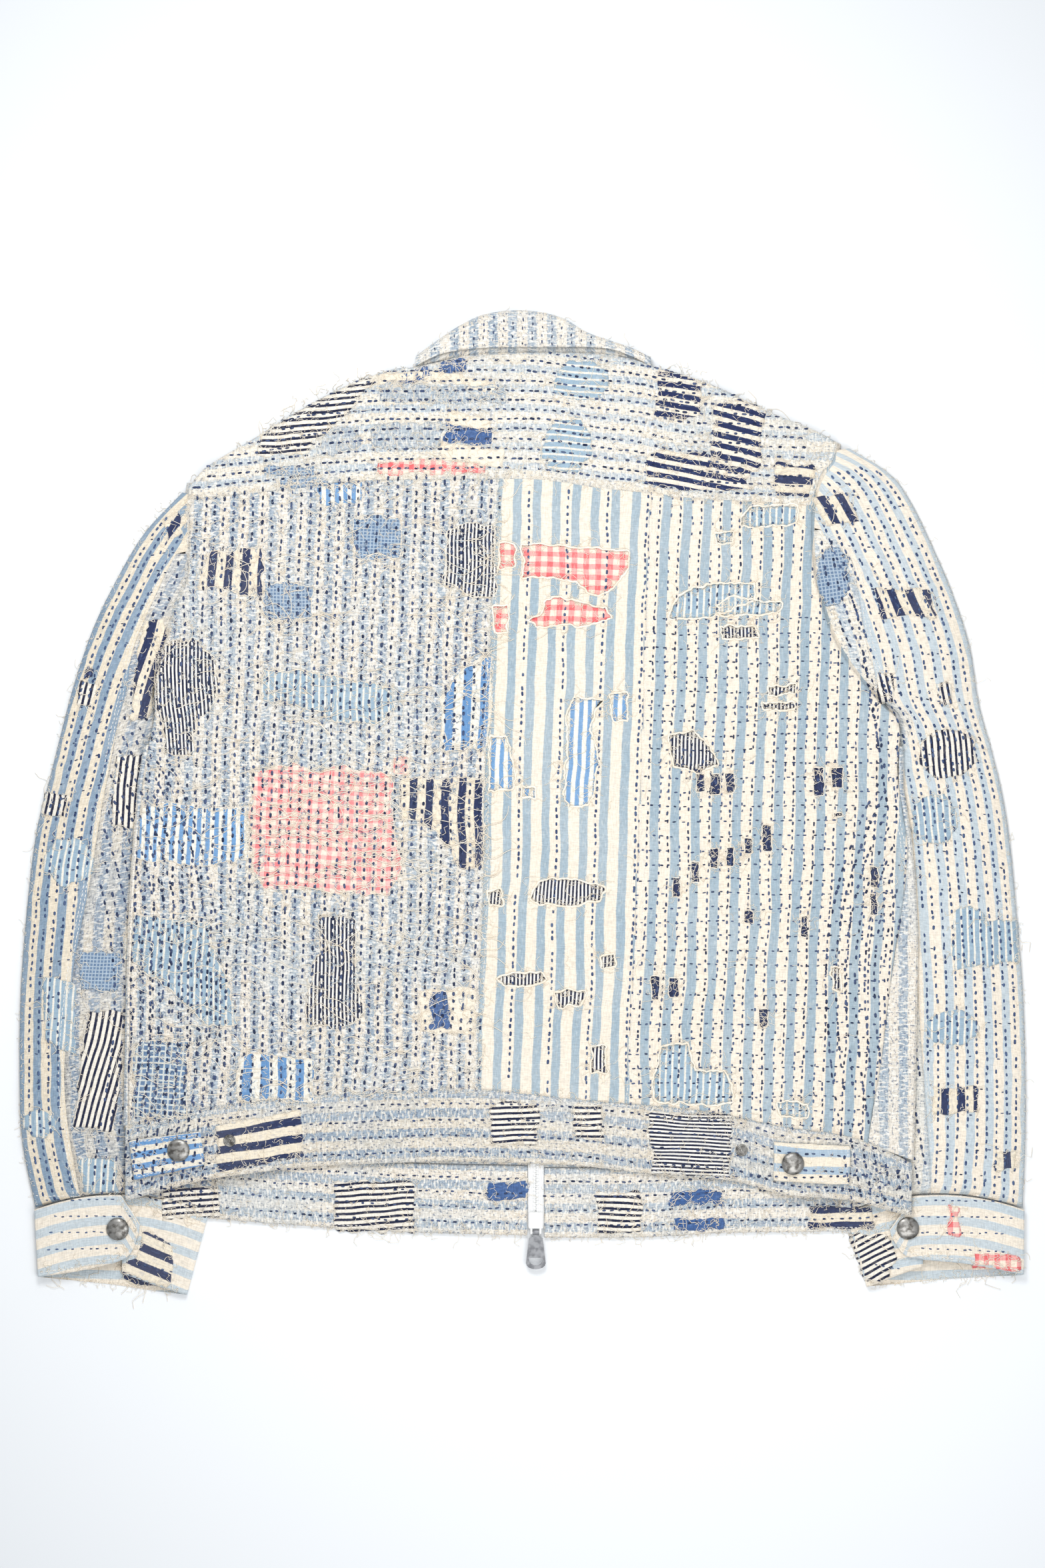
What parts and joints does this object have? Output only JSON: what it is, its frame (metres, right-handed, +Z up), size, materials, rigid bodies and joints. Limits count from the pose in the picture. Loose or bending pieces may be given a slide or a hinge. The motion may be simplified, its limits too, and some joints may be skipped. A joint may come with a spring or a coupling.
{
  "type": "patched boro jacket laid flat",
  "caption": "Patched boro jacket laid flat on its front, with striped and mended cloth, yoke, cuffs, hem tabs, snaps and a two-way zip.",
  "frame": {"origin": "centre of the jacket's bounding box, on the surface that it lies on", "axes": "+Y runs from the hem to the collar, +X to the right seen from above with the back uppermost, +Z up off the surface"},
  "size_m": [0.7543, 0.737, 0.0192],
  "materials": {
    "striped_cloth": "cream and light blue striped cotton, worn and sashiko stitched",
    "boro_cloth": "mended cotton with dense dark running stitches and loose threads",
    "blue_cloth": "faded blue striped and checked cotton",
    "navy_cloth": "navy and cream striped cotton",
    "red_cloth": "faded red gingham cotton",
    "antique_silver": "antique silver plated snap, plain cap",
    "white_tape": "white woven zip tape",
    "white_enamel": "white enamelled die cast slider",
    "grey_metal": "ribbed grey die cast pull, no lettering"
  },
  "bodies": {
    "jacket": {"sleeve_left_outer": "striped_cloth", "sleeve_left_under": "boro_cloth", "sleeve_right_outer": "striped_cloth", "sleeve_right_under": "boro_cloth", "cuff_left": "striped_cloth", "cuff_right": "striped_cloth", "front_left": "boro_cloth", "front_right": "boro_cloth", "back_left": "boro_cloth", "back_right": "striped_cloth", "yoke": "boro_cloth", "side_left": "boro_cloth", "side_right": "boro_cloth", "waistband_back": "boro_cloth", "waistband_front_left": "boro_cloth", "waistband_front_right": "boro_cloth", "collar": "boro_cloth", "collar_front": "boro_cloth", "tab_left": "blue_cloth", "tab_right": "striped_cloth", "patch_navy_stripe_upper": "navy_cloth", "patch_blue_check_upper": "blue_cloth", "patch_ticking_upper": "navy_cloth", "patch_light_ticking_middle": "blue_cloth", "patch_blue_stripe_middle": "blue_cloth", "patch_red_gingham": "red_cloth", "patch_navy_stripe_lower": "navy_cloth", "patch_light_ticking_lower": "blue_cloth", "patch_ticking_lower": "navy_cloth", "patch_blue_check_lower": "blue_cloth", "patch_blue_stripe_lower": "blue_cloth", "snap_cap_cuff_left": "antique_silver", "snap_cap_cuff_right": "antique_silver", "snap_cap_tab_left": "antique_silver", "snap_cap_tab_right": "antique_silver", "snap_socket_left": "antique_silver", "snap_socket_right": "antique_silver", "zip_tape_left": "white_tape", "zip_tape_right": "white_tape", "zip_slider": "white_enamel"},
    "pull": {"zip_pull": "grey_metal"}
  },
  "joints": [
    {"name": "zip_pull_swing", "type": "hinge", "parent": "jacket", "child": "pull", "pos_m": [0.01, -0.3214, 0.0044], "axis": [-1, 0, 0], "range_deg": [0, 110]}
  ]
}
